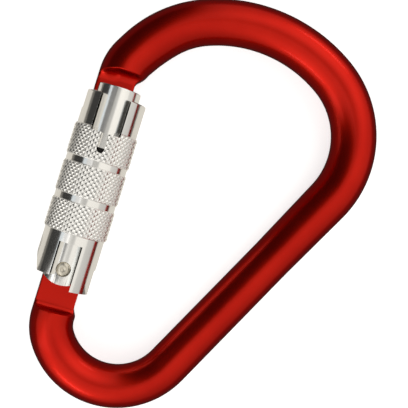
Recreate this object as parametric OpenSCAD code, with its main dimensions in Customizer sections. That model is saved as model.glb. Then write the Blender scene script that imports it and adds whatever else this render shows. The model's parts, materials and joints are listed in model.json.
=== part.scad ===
// Pear-shaped (HMS) carabiner with a twist-lock sleeve.
//
// Everything is drawn first in the gate's own axes: X runs from the gate's axis towards the
// spine, Y runs along the gate from the hinge to the nose, Z points out of the front, and the
// hinge pin's axis is the origin. placed() then lays the carabiner flat, with the origin under
// the middle of its outline and Z = 0 at the lowest point of the sleeve.

/* [Bar] */
// Diameter of the bar along the spine and around the narrow basket
bar_d = 12; // [11:0.1:13]
// Diameter of the bar around the wide basket
wide_bar_d = 12.8; // [12:0.1:13.2]
// Thickness of the nose blade and of the hinge tang
blade_t = 4; // [3.6:0.1:4.4]

/* [Outline] */
// Length of the straight spine between the two baskets
spine_len = 62.2; // [56:0.1:68]
// Lean of the spine from the gate's axis, in degrees
spine_lean = 27.5; // [25:0.5:29]
// Centreline radius of the wide basket where it leaves the spine
basket_r = 24.7; // [23:0.1:27]
// Centreline radius of the shoulder that comes down to the nose
shoulder_r = 29.5; // [27:0.1:31]
// Centreline radius of the narrow basket
low_basket_r = 18; // [17:0.1:20]
// Centreline radius of the heel below the tang
heel_r = 10.8; // [10:0.1:11.5]

/* [Gate] */
// Diameter of the gate
gate_d = 11.8; // [11.4:0.1:12.4]
// Height of the gate's top end above the hinge axis
gate_top = 49.6; // [48.6:0.1:50.6]
// Angle to which the gate opens
open_angle = 28; // [24:1:30]
// Diameter of the hinge rivet's shank
rivet_d = 2.8; // [2.4:0.1:3.2]
// Radial play of everything that slides or turns on something else
play = 0.05; // [0.03:0.01:0.08]

/* [Sleeve] */
// Diameter of the sleeve's smooth ends
sleeve_d = 16.2; // [16:0.1:16.8]
// Diameter over the tips of the knurl
knurl_d = 17.2; // [17:0.1:17.8]
// Height of the sleeve's top edge above the hinge axis
sleeve_top = 46.95; // [46.5:0.05:47.2]
// Width of the notches at the nose end
nose_notch_w = 8; // [7.4:0.1:8.4]
// Width of the notches at the hinge end
hinge_notch_w = 6.2; // [5.8:0.1:6.6]
// Quarter turn that unlocks the sleeve, in degrees
twist_angle = 90; // [90]

/* [Hidden] */
$fn = 96;

bar_r = bar_d / 2;
wide_bar_r = wide_bar_d / 2;
gate_r = gate_d / 2;
sleeve_r = sleeve_d / 2;
knurl_r = knurl_d / 2;
blade_half = blade_t / 2;
far = 200;                      // beyond the whole part
cut_w = 26;                     // wider than the bar's ends, and clear of the rest of it

// --- blades and slots ---------------------------------------------------------------------
blade_gap = 0.15;               // beside a blade, each side, in the gate
slot_gap = 0.2;                 // beside a blade, each side, in the sleeve
gate_slot_half = blade_half + blade_gap;
sleeve_slot_half = blade_half + slot_gap;
blade_r = gate_r - play;        // inside the sleeve, the blades keep within this radius

// --- nose ---------------------------------------------------------------------------------
nose_x = -0.2;                  // axis of the bar's upright end
nose_left = nose_x - wide_bar_r;
nose_right = 3.6;               // inner edge of the blade
nose_bottom = gate_top - 6.5;
nose_proud_y = sleeve_top + 0.35;     // above this the blade stands proud of the gate
nose_flat_top = gate_top + 2.4; // where the blade's flat faces end
nose_cove_r = 2.4;
shoulder_slope = 43;            // of the slanted face from the blade out to the full bar
hook_low = nose_bottom + 1.8;   // the nose's notch, which the gate's tooth enters
hook_high = hook_low + 2.1;
hook_x = 1.4;
tooth_gap = 0.3;

// --- tang and hinge -----------------------------------------------------------------------
tang_right = 5.6;
tang_flat_low = -9.8;           // where the tang's flat faces end
tang_cove_low = -9.4;           // where its inner edge ends
tang_cove_r = 1.5;
tang_side_cove_r = 3;
cam_r = 3.4;                    // rounded corners of the tang's top, the right one a cam
cam_throw = 2.2;                // distance of the cam's centre from the hinge axis
cam_x = cam_throw * cos(open_angle / 2);
cam_y = -cam_throw * sin(open_angle / 2);
plunger_face = cam_y + cam_r + 0.02;
plunger_travel = 2 * cam_throw * sin(open_angle / 2);

// --- gate ---------------------------------------------------------------------------------
gate_end_r = 8.4;               // rounding of the gate's lower end, seen from the front
gate_bottom = -4.2;
gate_slot_low = nose_bottom - 0.9;
gate_wall_x = nose_right + 0.6; // inner face of the wall behind the nose blade
hinge_slot_top = cam_y + cam_r + plunger_travel + 0.4;
plunger_x = 1.6;
plunger_r = 1.6;
plunger_len = 4;
spring_bore_top = 17.3;
rivet_r = rivet_d / 2;
rivet_head_r = 1.95;
rivet_head_seat = gate_r - 0.75;      // where the heads' countersunk seats begin
rivet_flush_r = gate_r - 0.06;        // the heads are peened just below the gate's surface
chamber_low = 14.9;             // ring-shaped chamber of the sleeve's spring
chamber_high = 32.1;
chamber_core_r = 4.7;
chamber_wall_r = 6.9;
stop_pin_r = 0.8;
stop_pin_y = 34.5;
stop_pin_azimuth = 135;         // from the front towards the spine side
stop_pin_inner = 3.6;
stop_pin_outer = 6.8;

// --- sleeve -------------------------------------------------------------------------------
bore_r = gate_r + play;
groove_r = sleeve_r + 0.15;
band_edges = [[9.4, 17.7], [19.25, 27.8], [29.3, 37.95]];
band_chamfer = knurl_r - sleeve_r;
nose_notch_low = 36.9;
hinge_notch_top = 7;
left_tongue_low = -2.1;
right_tongue_low = -5;
slant_top = 2.6;                // slanted relief of the outer tongue
slant_r = 6.55;                  // its radius at the tongue's lower edge
key_slot_w = 2;
key_slot_low = 31.6;
stop_groove_r = 7;
stop_groove_slack = 1;          // degrees at each end
outer_slot_low = gate_slot_low - 0.2; // clearance slot for the nose blade
inner_slot_top = 1.5;           // clearance slot for the tang
edge_round = 0.4;

// --- springs ------------------------------------------------------------------------------
sleeve_coil_r = 5.45;
sleeve_wire_r = 0.35;
sleeve_turns = 9.25;
sleeve_coil_low = 16.2;
sleeve_coil_high = 30.6;
leg_bend_r = 0.8;
leg_hole_r = sleeve_wire_r + 0.08;
inner_leg_end = 3.6;            // radius at which the leg in the gate ends
outer_leg_end = 7.5;            // radius at which the leg in the sleeve ends
leg_azimuth = 0;                // in the turned part's own angles
gate_coil_r = 1.3;
gate_wire_r = 0.25;
gate_turns = 9;
seat_gap = 0.02;

// --- centreline of the bar ----------------------------------------------------------------
// From the heel the bar runs around the narrow basket, up the spine and around the wide
// basket to the shoulder, which comes down to the nose. The crown's radius is worked out
// so that the shoulder's line meets the nose.
function along(angle) = [cos(angle), sin(angle)];

heel_turn = 33;
shoulder_end = 180 - 29.2;      // angle at which the shoulder's arc ends
crown_start = 58;
crown_end = 112;
heel_x = 1;
heel_y = -12.9;
nose_point = [-2.15, gate_top + 3];
tang_corner_x = heel_x - bar_r + cam_r;

heel_start = [heel_x, heel_y];
heel_c = heel_start + [heel_r, 0];
low_c = heel_c + (low_basket_r - heel_r) * along(heel_turn);
spine_dir = along(90 - spine_lean);
spine_side = along(-spine_lean);
spine_start = low_c + low_basket_r * spine_side;
spine_end = spine_start + spine_len * spine_dir;
basket_c = spine_end - basket_r * spine_side;
shoulder_n = along(shoulder_end);
crown_r = ((nose_point - basket_c) * shoulder_n
           - basket_r * cos(shoulder_end - crown_start)
           + shoulder_r * cos(shoulder_end - crown_end) - shoulder_r)
          / (cos(shoulder_end - crown_end) - cos(shoulder_end - crown_start));
crown_c = basket_c - (crown_r - basket_r) * along(crown_start);
shoulder_c = crown_c + (crown_r - shoulder_r) * along(crown_end);
shoulder_tip = shoulder_c + shoulder_r * shoulder_n;

// The last bend turns the shoulder's line upright above the nose
nose_bend_r = 10.7;
nose_bend_turn = 180 - shoulder_end;
nose_bend_x = nose_x + nose_bend_r;
nose_bend_y = shoulder_tip[1]
    - (nose_bend_r - (shoulder_tip[0] - nose_bend_x) * shoulder_n[0]) / shoulder_n[1];
nose_bend_c = [nose_bend_x, nose_bend_y];
nose_bend_tip = nose_bend_c + nose_bend_r * shoulder_n;

// --- placing ------------------------------------------------------------------------------
outline_x = [-knurl_r, basket_c[0] + basket_r + wide_bar_r];
outline_y = [low_c[1] - low_basket_r - bar_r, crown_c[1] + crown_r + wide_bar_r];
middle = [(outline_x[0] + outline_x[1]) / 2, (outline_y[0] + outline_y[1]) / 2];

module placed() {
    translate([-middle[0], -middle[1], knurl_r]) children();
}

// Turns a shape drawn along Z to lie along Y; its own angle a then lies a + 90 degrees from
// the front towards the spine side
module along_gate() {
    rotate([-90, 0, 0]) children();
}

// A round rod of the centreline between two points of the plane. It runs on by lap at each
// end into its neighbours.
module rod(from, to, r1, r2, lap = 0) {
    step = to - from;
    translate([from[0], from[1], 0])
        rotate([0, 0, atan2(step[1], step[0])])
            rotate([0, 90, 0])
                translate([0, 0, -lap]) cylinder(r1 = r1, r2 = r2, h = norm(step) + 2 * lap);
}

// A round bend of the centreline, from one angle to another about its centre
module bend(centre, radius, start, end, r, lap = 0) {
    lap_angle = lap / radius * 180 / PI;
    translate([centre[0], centre[1], 0])
        rotate([0, 0, start - lap_angle])
            rotate_extrude(angle = end - start + 2 * lap_angle)
                translate([radius, 0]) circle(r);
}

// Both faces of the bar cut down to a blade, ending in a cove. side is +1 where the blade
// lies below the cove and -1 where it lies above.
module blade_cut(flat_end, cove_r, side) {
    reach = 20;
    for (face = [-1, 1])
        rotate([0, 90, 0])
            translate([0, 0, -cut_w / 2])
                linear_extrude(cut_w) {
                    translate([face > 0 ? -far - blade_half : blade_half,
                               side > 0 ? flat_end - reach : flat_end])
                        square([far, reach]);
                    translate([face > 0 ? -far - blade_half - cove_r : blade_half + cove_r,
                               side > 0 ? flat_end - reach : flat_end - cove_r])
                        square([far, reach + cove_r]);
                    translate([-face * (blade_half + cove_r), flat_end]) circle(cove_r);
                }
}

// What a blade loses so that it keeps within the gate's own radius inside the sleeve
module flush_cut(low, high) {
    difference() {
        translate([-cut_w / 2, low, -cut_w / 2]) cube([cut_w, high - low, cut_w]);
        translate([0, low - 1, 0])
            along_gate() cylinder(r = blade_r, h = high - low + 2);
    }
}

// --- body ---------------------------------------------------------------------------------
// Every second length of the bar is a hair thicker, and its neighbours lap into it, so that
// the lengths join without surfaces that merely touch.
module bar() {
    lap = 0.2;
    thick = bar_r + 0.04;
    wide_thick = wide_bar_r + 0.04;
    taper_len = 22;
    taper_start = spine_end - taper_len * spine_dir;
    rod([heel_x, cam_y + cam_r + 1], heel_start, thick, thick);
    bend(heel_c, heel_r, 180, 180 + heel_turn, bar_r, lap);
    bend(low_c, low_basket_r, 180 + heel_turn, 360 - spine_lean, thick);
    rod(spine_start, taper_start, bar_r, bar_r, lap);
    rod(taper_start, spine_end, thick, wide_thick);
    bend(basket_c, basket_r, -spine_lean, crown_start, wide_bar_r, lap);
    bend(crown_c, crown_r, crown_start, crown_end, wide_thick);
    bend(shoulder_c, shoulder_r, crown_end, shoulder_end, wide_bar_r, lap);
    rod(shoulder_tip, nose_bend_tip, wide_thick, wide_thick);
    bend(nose_bend_c, nose_bend_r, shoulder_end, 180, wide_bar_r, lap);
    rod([nose_x, nose_bend_y], [nose_x, nose_bottom], wide_thick, wide_thick);
}

// The bar's end is milled to the nose blade: two flat faces, an inner edge that slants out
// to the full bar, a notch for the gate's tooth, and a flush outer edge inside the sleeve
module nose_cuts() {
    shoulder_w = 4.4;
    blade_cut(nose_flat_top, nose_cove_r, 1);
    flush_cut(nose_bottom - 1, nose_proud_y);
    translate([0, 0, -far / 2])
        linear_extrude(far) {
            translate([nose_right, nose_flat_top])
                polygon([[0, nose_bottom - nose_flat_top - 1], [0, 0],
                         [shoulder_w, shoulder_w * tan(shoulder_slope)],
                         [shoulder_w, nose_bottom - nose_flat_top - 1]]);
            translate([hook_x, hook_low])
                square([nose_right - hook_x + 1, hook_high - hook_low]);
        }
}

// The bar's other end is milled to the hinge tang: two flat faces, an inner edge with a cove,
// and a rounded top whose inner corner is the cam that works the plunger
module tang_cuts() {
    blade_cut(tang_flat_low, tang_cove_r, -1);
    flush_cut(right_tongue_low - 0.3, cam_y + cam_r + 2);
    translate([0, 0, -far / 2])
        linear_extrude(far) {
            translate([tang_right, tang_cove_low]) square([cut_w / 2, 20]);
            translate([tang_right + tang_side_cove_r, tang_cove_low]) circle(tang_side_cove_r);
            difference() {
                translate([-cut_w / 2, cam_y]) square([cut_w, cam_r + 2]);
                translate([tang_corner_x, cam_y]) circle(cam_r);
                translate([cam_x, cam_y]) circle(cam_r);
                translate([tang_corner_x, cam_y - 1]) square([cam_x - tang_corner_x, cam_r + 1]);
            }
        }
    translate([0, 0, -far / 2]) cylinder(r = rivet_r + play, h = far);
}

module body() {
    color([0.76, 0.10, 0.07])
        placed()
            difference() {
                bar();
                nose_cuts();
                tang_cuts();
            }
}

// --- gate ---------------------------------------------------------------------------------
module gate_profile() {
    end_chamfer = 0.3;
    polygon([[0, gate_bottom], [gate_r, gate_bottom], [gate_r, chamber_low],
             [chamber_core_r, chamber_low], [chamber_core_r, chamber_high],
             [gate_r, chamber_high], [gate_r, gate_top - end_chamfer],
             [gate_r - end_chamfer, gate_top], [0, gate_top]]);
}

module gate() {
    color([0.78, 0.78, 0.76])
        placed()
            difference() {
                intersection() {
                    along_gate() rotate_extrude() gate_profile();
                    // rounded lower end
                    translate([0, 0, -far / 2])
                        linear_extrude(far) {
                            translate([0, gate_bottom + gate_end_r]) circle(gate_end_r);
                            translate([-gate_end_r, gate_bottom + gate_end_r])
                                square([2 * gate_end_r, gate_top]);
                        }
                }
                // slot for the nose blade, with a tooth left standing in its inner wall
                translate([0, 0, -gate_slot_half])
                    linear_extrude(2 * gate_slot_half)
                        difference() {
                            translate([-far, gate_slot_low])
                                square([far + gate_wall_x, far]);
                            translate([hook_x + tooth_gap, hook_low + tooth_gap])
                                square([far, hook_high - hook_low - 2 * tooth_gap]);
                        }
                // slot for the tang
                translate([-far / 2, -far + hinge_slot_top, -gate_slot_half])
                    cube([far, far, 2 * gate_slot_half]);
                // rivet hole and the seats of its heads
                translate([0, 0, -far / 2]) cylinder(r = rivet_r, h = far);
                for (face = [0, 180])
                    rotate([0, face, 0])
                        translate([0, 0, rivet_head_seat]) cylinder(r = rivet_head_r, h = far);
                // bore of the plunger and its spring
                translate([plunger_x, 0, 0])
                    along_gate() cylinder(r = plunger_r + play, h = spring_bore_top);
                // hole of the stop pin
                turned_hole(stop_pin_azimuth - 90, stop_pin_y, stop_pin_r, stop_pin_inner - 0.2);
                // hole of the sleeve spring's inner leg
                inner_leg() turned_hole(0, 0, leg_hole_r, inner_leg_end - 0.2);
            }
}

// A radial hole between two radii, at an own angle and height of the turned parts
module turned_hole(angle, height, r, inner, outer = far) {
    translate([0, height, 0])
        along_gate()
            rotate([0, 0, angle])
                translate([inner, 0, 0]) rotate([0, 90, 0]) cylinder(r = r, h = outer - inner);
}

// --- hinge rivet --------------------------------------------------------------------------
module hinge_rivet() {
    color([0.70, 0.68, 0.62])
        placed()
            intersection() {
                union() {
                    translate([0, 0, -gate_r]) cylinder(r = rivet_r, h = gate_d);
                    for (face = [0, 180])
                        rotate([0, face, 0])
                            translate([0, 0, rivet_head_seat])
                                cylinder(r = rivet_head_r, h = gate_r - rivet_head_seat);
                }
                translate([0, -gate_r, 0])
                    along_gate() cylinder(r = rivet_flush_r, h = gate_d);
            }
}

// --- plunger ------------------------------------------------------------------------------
module gate_plunger() {
    chamfer = 0.2;
    color([0.62, 0.62, 0.64])
        placed()
            translate([plunger_x, plunger_face, 0])
                along_gate()
                    rotate_extrude()
                        polygon([[0, 0], [plunger_r - chamfer, 0], [plunger_r, chamfer],
                                 [plunger_r, plunger_len - chamfer],
                                 [plunger_r - chamfer, plunger_len], [0, plunger_len]]);
}

// --- springs ------------------------------------------------------------------------------
// Sweeps a round wire along points whose tangents never run along Z. Each ring's sides are
// spread between Z and the direction square to it and to the path.
function unit(v) = v / norm(v);

module wire(path, r, sides) {
    n = len(path);
    tangents = [for (i = [0:n - 1])
        unit(path[min(i + 1, n - 1)] - path[max(i - 1, 0)])];
    points = [for (i = [0:n - 1])
        let (across = unit(cross(tangents[i], [0, 0, 1])), up = cross(across, tangents[i]))
            for (k = [0:sides - 1])
                path[i] + r * (across * cos(360 * k / sides) + up * sin(360 * k / sides))];
    skin = [for (i = [0:n - 2]) for (k = [0:sides - 1])
        let (a = i * sides + k, b = i * sides + (k + 1) % sides)
            each [[a, b, b + sides], [a, b + sides, a + sides]]];
    caps = [[for (k = [sides - 1:-1:0]) k], [for (k = [0:sides - 1]) (n - 1) * sides + k]];
    polyhedron(points, concat(skin, caps), convexity = 10);
}

function polar(radius, angle, height) = [radius * cos(angle), radius * sin(angle), height];

// Height of a coil with one closed turn at each end, for a turn number t
function closed_coil_height(t, turns, low, high, wire_r) =
    let (lead = 2 * wire_r, middle_turns = turns - 2,
         pitch = (high - low - 2 * wire_r - 2 * lead) / middle_turns,
         base = low + wire_r)
    t < 1 ? base + lead * t
    : t < turns - 1 ? base + lead + pitch * (t - 1)
    : base + lead + pitch * middle_turns + lead * (t - turns + 1);

module gate_spring() {
    steps = 16;
    low = plunger_face + plunger_len + seat_gap;
    high = spring_bore_top - seat_gap;
    color([0.60, 0.60, 0.62])
        placed()
            translate([plunger_x, 0, 0])
                along_gate()
                    wire([for (i = [0:steps * gate_turns])
                        let (t = i / steps)
                            polar(gate_coil_r, 360 * t,
                                  closed_coil_height(t, gate_turns, low, high, gate_wire_r))],
                        gate_wire_r, 8);
}

coil_pitch = (sleeve_coil_high - sleeve_coil_low) / sleeve_turns;
inner_leg_angle = leg_azimuth + 360 * sleeve_turns;

// A bend that turns the coil's wire from along the coil to along the radius. out is +1 for a
// leg that points outwards and -1 for one that points inwards; ahead is the leg's side of
// the bend, +1 for the coil's end and -1 for its start.
function leg_bend(angle, height, out, ahead, beta) =
    let (radial = polar(1, angle, 0), forward = ahead * polar(1, angle + 90, 0))
        polar(sleeve_coil_r, angle, height)
        + leg_bend_r * (out * radial * (1 - cos(beta)) + forward * sin(beta));

function leg_tip(angle, height, out, ahead, reach) =
    leg_bend(angle, height, out, ahead, 90) + out * reach * polar(1, angle, 0);

module sleeve_spring() {
    steps = 18;
    outer_reach = outer_leg_end - sleeve_coil_r - leg_bend_r;
    inner_reach = sleeve_coil_r - leg_bend_r - inner_leg_end;
    color([0.60, 0.60, 0.62])
        placed()
            along_gate()
                wire(concat(
                    [leg_tip(leg_azimuth, sleeve_coil_low, 1, -1, outer_reach)],
                    [for (beta = [90:-30:30]) leg_bend(leg_azimuth, sleeve_coil_low, 1, -1, beta)],
                    [for (i = [0:ceil(steps * sleeve_turns)])
                        let (t = min(i / steps, sleeve_turns))
                            polar(sleeve_coil_r, leg_azimuth + 360 * t,
                                  sleeve_coil_low + coil_pitch * t)],
                    [for (beta = [30:30:90])
                        leg_bend(inner_leg_angle, sleeve_coil_high, -1, 1, beta)],
                    [leg_tip(inner_leg_angle, sleeve_coil_high, -1, 1, inner_reach)]),
                    sleeve_wire_r, 8);
}

// Where each leg's hole lies: beside the coil's end by the radius of its bend
module inner_leg() {
    side = leg_bend_r * [cos(inner_leg_angle + 90), sin(inner_leg_angle + 90)];
    translate([side[0], sleeve_coil_high, -side[1]])
        rotate([0, inner_leg_angle, 0]) children();
}

module outer_leg() {
    side = -leg_bend_r * [cos(leg_azimuth + 90), sin(leg_azimuth + 90)];
    translate([side[0], sleeve_coil_low, -side[1]])
        rotate([0, leg_azimuth, 0]) children();
}

// --- sleeve -------------------------------------------------------------------------------
module sleeve_profile() {
    low_band = band_edges[0];
    difference() {
        union() {
            // smooth ends, rounded at the outer edges
            translate([bore_r, right_tongue_low])
                square([sleeve_r - edge_round - bore_r, sleeve_top - right_tongue_low]);
            translate([bore_r, right_tongue_low])
                square([sleeve_r - bore_r, sleeve_top - edge_round - right_tongue_low]);
            translate([sleeve_r - edge_round, sleeve_top - edge_round]) circle(edge_round, $fn = 32);
            // floors of the two grooves between the bands
            translate([bore_r, low_band[0] + 1])
                square([groove_r - bore_r, band_edges[2][0] - low_band[0]]);
            for (band = band_edges)
                translate([bore_r, band[0]])
                    square([knurl_r - bore_r, band[1] - band[0]]);
        }
        // chamfer under the lowest band
        translate([sleeve_r, low_band[0]])
            polygon([[0, 0], [band_chamfer, band_chamfer], [band_chamfer + 1, -1], [0, -1]]);
        // chamber of the spring
        translate([0, chamber_low])
            square([chamber_wall_r, chamber_high - 0.2 - chamber_low]);
    }
}

module stop_groove() {
    half = asin(stop_pin_r / gate_r) + stop_groove_slack;
    start = stop_pin_azimuth - 90 - half;
    translate([0, stop_pin_y, 0])
        along_gate()
            rotate([0, 0, start])
                rotate_extrude(angle = twist_angle + 2 * half)
                    translate([bore_r - 1, -stop_pin_r - play])
                        square([stop_groove_r - bore_r + 1, 2 * (stop_pin_r + play)]);
}

module locking_sleeve() {
    color([0.82, 0.82, 0.80])
        placed()
            difference() {
                along_gate() rotate_extrude() sleeve_profile();
                // notches at the front and the back of both ends
                translate([-nose_notch_w / 2, nose_notch_low, -far / 2])
                    cube([nose_notch_w, far, far]);
                translate([-hinge_notch_w / 2, hinge_notch_top - far, -far / 2])
                    cube([hinge_notch_w, far, far]);
                // key slot below the front notch
                translate([-key_slot_w / 2, key_slot_low + key_slot_w / 2, 0])
                    cube([key_slot_w, nose_notch_low - key_slot_low, far]);
                translate([0, key_slot_low + key_slot_w / 2, 0])
                    cylinder(r = key_slot_w / 2, h = far, $fn = 48);
                // clearance slots that let the blades through as the gate swings
                translate([-far, outer_slot_low, -sleeve_slot_half])
                    cube([far, far, 2 * sleeve_slot_half]);
                translate([0, inner_slot_top - far, -sleeve_slot_half])
                    cube([far, far, 2 * sleeve_slot_half]);
                // the outer tongue is shorter, with a slanted relief
                translate([-far, left_tongue_low - far, -far / 2])
                    cube([far, far, far]);
                slant = atan((sleeve_r - slant_r) / (slant_top - left_tongue_low));
                translate([-sleeve_r, slant_top, -far / 2])
                    rotate([0, 0, slant])
                        translate([-far, -far, 0]) cube([far, far, far]);
                stop_groove();
                outer_leg() turned_hole(0, 0, leg_hole_r, chamber_wall_r - 0.5,
                                        outer_leg_end + 0.2);
            }
}

// --- stop pin -----------------------------------------------------------------------------
module sleeve_stop_pin() {
    color([0.62, 0.62, 0.64])
        placed()
            translate([0, stop_pin_y, 0])
                along_gate()
                    rotate([0, 0, stop_pin_azimuth - 90])
                        translate([stop_pin_inner, 0, 0])
                            rotate([0, 90, 0])
                                cylinder(r = stop_pin_r, h = stop_pin_outer - stop_pin_inner);
}

body();
gate();
hinge_rivet();
gate_plunger();
gate_spring();
locking_sleeve();
sleeve_spring();
sleeve_stop_pin();
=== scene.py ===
# %% [markdown]
# # A twist-lock carabiner, dressed for its picture
#
# The carabiner is a pear-shaped bar of red anodised aluminium, closed by a gate that a knurled
# sleeve locks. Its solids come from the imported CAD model, which fixes every size, body and
# joint. This script keeps that frame, builds finer meshes over the pieces that show, gives
# each one its finish, and sets up a small studio.

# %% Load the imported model
import json
from math import asin, atan, atan2, copysign, cos, exp, hypot, pi, radians, sin, sqrt, tan

import bmesh
import bpy
from bmesh import ops
from bmesh.types import BMEdge, BMVert
from mathutils import Matrix, Vector, noise


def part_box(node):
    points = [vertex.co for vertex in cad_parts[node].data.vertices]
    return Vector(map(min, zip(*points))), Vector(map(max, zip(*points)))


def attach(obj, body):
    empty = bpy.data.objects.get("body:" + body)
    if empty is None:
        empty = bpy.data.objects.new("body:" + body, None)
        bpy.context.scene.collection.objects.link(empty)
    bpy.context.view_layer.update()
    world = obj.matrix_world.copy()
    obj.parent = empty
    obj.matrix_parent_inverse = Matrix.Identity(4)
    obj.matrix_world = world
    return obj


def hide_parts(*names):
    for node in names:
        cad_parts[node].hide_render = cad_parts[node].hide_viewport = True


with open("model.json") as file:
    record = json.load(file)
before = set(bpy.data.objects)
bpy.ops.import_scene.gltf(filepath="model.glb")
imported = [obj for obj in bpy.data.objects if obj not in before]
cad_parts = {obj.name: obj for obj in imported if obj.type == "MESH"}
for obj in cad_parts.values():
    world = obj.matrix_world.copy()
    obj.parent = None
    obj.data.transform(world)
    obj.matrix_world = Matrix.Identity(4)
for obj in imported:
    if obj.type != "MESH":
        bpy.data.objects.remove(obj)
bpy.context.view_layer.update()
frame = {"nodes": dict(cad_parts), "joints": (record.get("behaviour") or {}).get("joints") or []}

# %% [markdown]
# The pieces are drawn in millimetres, from the axis of the hinge rivet. X runs from the gate
# towards the spine, Y runs up the gate to the nose, and Z comes out of the front. The packed
# model says where that axis lies in the shared frame, so one scale and one move put a
# finished mesh in its place, and its object stays at the origin.

# %% From the drawing's millimetres to the frame's metres
MM = 0.001
joints = {joint["name"]: joint for joint in frame["joints"]}
hinge_place = Vector(joints["gate_hinge"]["pos_m"])


def move(bm, way):
    """Moves all of a bmesh."""
    ops.translate(bm, vec=way, verts=bm.verts)


def rotate(bm, angle, axis):
    """Turns all of a bmesh about an axis through its origin."""
    ops.rotate(bm, matrix=Matrix.Rotation(angle, 3, axis), verts=bm.verts)


def to_frame(bm):
    """Turns millimetres about the hinge into metres in the shared frame."""
    ops.scale(bm, vec=(MM, MM, MM), verts=bm.verts)
    move(bm, hinge_place)


def put_in_scene(name, data):
    """A new object for a mesh, lamp or camera."""
    item = bpy.data.objects.new(name, data)
    bpy.context.scene.collection.objects.link(item)
    return item


def put_mesh(bm, name):
    """A new object for a bmesh, which is freed."""
    mesh = bpy.data.meshes.new(name)
    bm.to_mesh(mesh)
    bm.free()
    return put_in_scene(name, mesh)


print("hinge axis at", tuple(round(x, 4) for x in hinge_place))

# %% [markdown]
# A finished bmesh becomes an object here. Its faces are shaded smooth, and only edges that
# turn by more than the stated angle stay crisp. Weighted normals let the large faces decide
# how light glides over a rounded edge, so a small bevel doesn't bend the reflections of a
# long wall. Each piece then rides on the CAD body it moves with and stands in for its CAD
# node.


# %% Make a piece from a bmesh
def make_piece(bm, name, body, node, crisp=35):
    """Writes a bmesh drawn in millimetres to an object of the shared frame."""
    to_frame(bm)
    piece = put_mesh(bm, name)
    piece.data.shade_smooth()
    piece.data.set_sharp_from_angle(angle=radians(crisp))
    evened = piece.modifiers.new("even_normals", "WEIGHTED_NORMAL")
    evened.keep_sharp = True
    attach(piece, body)
    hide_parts(node)
    triangles = sum(len(face.vertices) - 2 for face in piece.data.polygons)
    print(f"{name}: {triangles} triangles, rides on {body}")
    return piece


# %% [markdown]
# ## The bar
#
# The real bar is one round rod, bent cold into a pear and milled flat at both ends. A curve
# with a bevel would give the tube, but not its ends. So one ring of vertices is drawn along
# the rod's centreline: straight runs are extruded, bends are spun about their own centres,
# and the whole bar stays one clean grid.
#
# The centreline is worked out from the same radii and angles as the CAD part, so their outer
# sides lie on each other. Bending flattens the inner side by about 0.4 mm.

# %% The bar's centreline
bar_radius = 6.0
wide_bar_radius = 6.4
inner_flattening = 0.965
spine_lean = 27.5
spine_length = 62.2
taper_length = 22.0
heel_radius, heel_turn = 10.8, 33.0
narrow_radius = 18.0
basket_radius, shoulder_radius = 24.7, 29.5
crown_start, crown_end, shoulder_end = 58.0, 112.0, 150.8
nose_bend_radius = 10.7
heel_x, heel_y = 1.0, -12.9
nose_x = -0.2
gate_top = 49.6
nose_bottom = gate_top - 6.5


def along(degrees):
    """A unit vector in the carabiner's plane."""
    return Vector((cos(radians(degrees)), sin(radians(degrees)), 0))


heel_centre = Vector((heel_x + heel_radius, heel_y, 0))
narrow_centre = heel_centre + (narrow_radius - heel_radius) * along(heel_turn)
spine_side, spine_way = along(-spine_lean), along(90 - spine_lean)
spine_end = narrow_centre + narrow_radius * spine_side + spine_length * spine_way
basket_centre = spine_end - basket_radius * spine_side
nose_point = Vector((-2.15, gate_top + 3, 0))
crown_radius = (
    (nose_point - basket_centre).dot(along(shoulder_end))
    - basket_radius * cos(radians(shoulder_end - crown_start))
    + shoulder_radius * cos(radians(shoulder_end - crown_end))
    - shoulder_radius
) / (
    cos(radians(shoulder_end - crown_end))
    - cos(radians(shoulder_end - crown_start))
)
crown_centre = basket_centre - (crown_radius - basket_radius) * along(crown_start)
shoulder_centre = crown_centre + (crown_radius - shoulder_radius) * along(crown_end)
shoulder_tip = shoulder_centre + shoulder_radius * along(shoulder_end)
nose_bend_x = nose_x + nose_bend_radius
nose_bend_y = shoulder_tip.y - (
    nose_bend_radius - (shoulder_tip.x - nose_bend_x) * along(shoulder_end).x
) / along(shoulder_end).y
nose_bend_centre = Vector((nose_bend_x, nose_bend_y, 0))
nose_bend_tip = nose_bend_centre + nose_bend_radius * along(shoulder_end)
print(f"crown radius {crown_radius:.3f}, nose bend ends at height {nose_bend_y:.3f}")

# %% [markdown]
# Three helpers drive the ring. `run_straight` extrudes it in steps and can let its radius
# change on the way, `run_round` spins it about a centre, and `levels` takes it through a list
# of heights. Each gives back the newest ring, so that the calls read in the order in which
# the rod is bent.


# %% Draw a ring along a rod
def pick(kind, made):
    """The parts of one kind among those that an operator made."""
    return [part for part in made if isinstance(part, kind)]


def run_straight(bm, ring, way, steps, radius_change=0.0):
    """Extrudes a ring of edges by the vector way. The radius grows evenly on the way."""
    for _ in range(steps):
        made = ops.extrude_edge_only(bm, edges=ring)["geom"]
        ring, verts = pick(BMEdge, made), pick(BMVert, made)
        ops.translate(bm, vec=way / steps, verts=verts)
        if radius_change:
            centre = sum((v.co for v in verts), Vector()) / len(verts)
            radius = (verts[0].co - centre).length
            grow = 1 + radius_change / steps / radius
            about = Matrix.Translation(-centre)
            ops.scale(bm, vec=(grow,) * 3, space=about, verts=verts)
    return ring


def run_round(bm, ring, centre, degrees, steps):
    """Spins a ring of edges about a centre in the carabiner's plane."""
    spun = ops.spin(
        bm, geom=ring, cent=centre, axis=(0, 0, 1), angle=radians(degrees), steps=steps,
        use_merge=False, use_normal_flip=False, use_duplicate=False,
    )
    return pick(BMEdge, spun["geom_last"])


def levels(bm, ring, heights):
    """Extrudes a ring that stands square to Y through a list of heights."""
    for height in heights:
        verts = {v for edge in ring for v in edge.verts}
        here = sum(v.co.y for v in verts) / len(verts)
        ring = run_straight(bm, ring, Vector((0, height - here, 0)), 1)
    return ring


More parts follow.
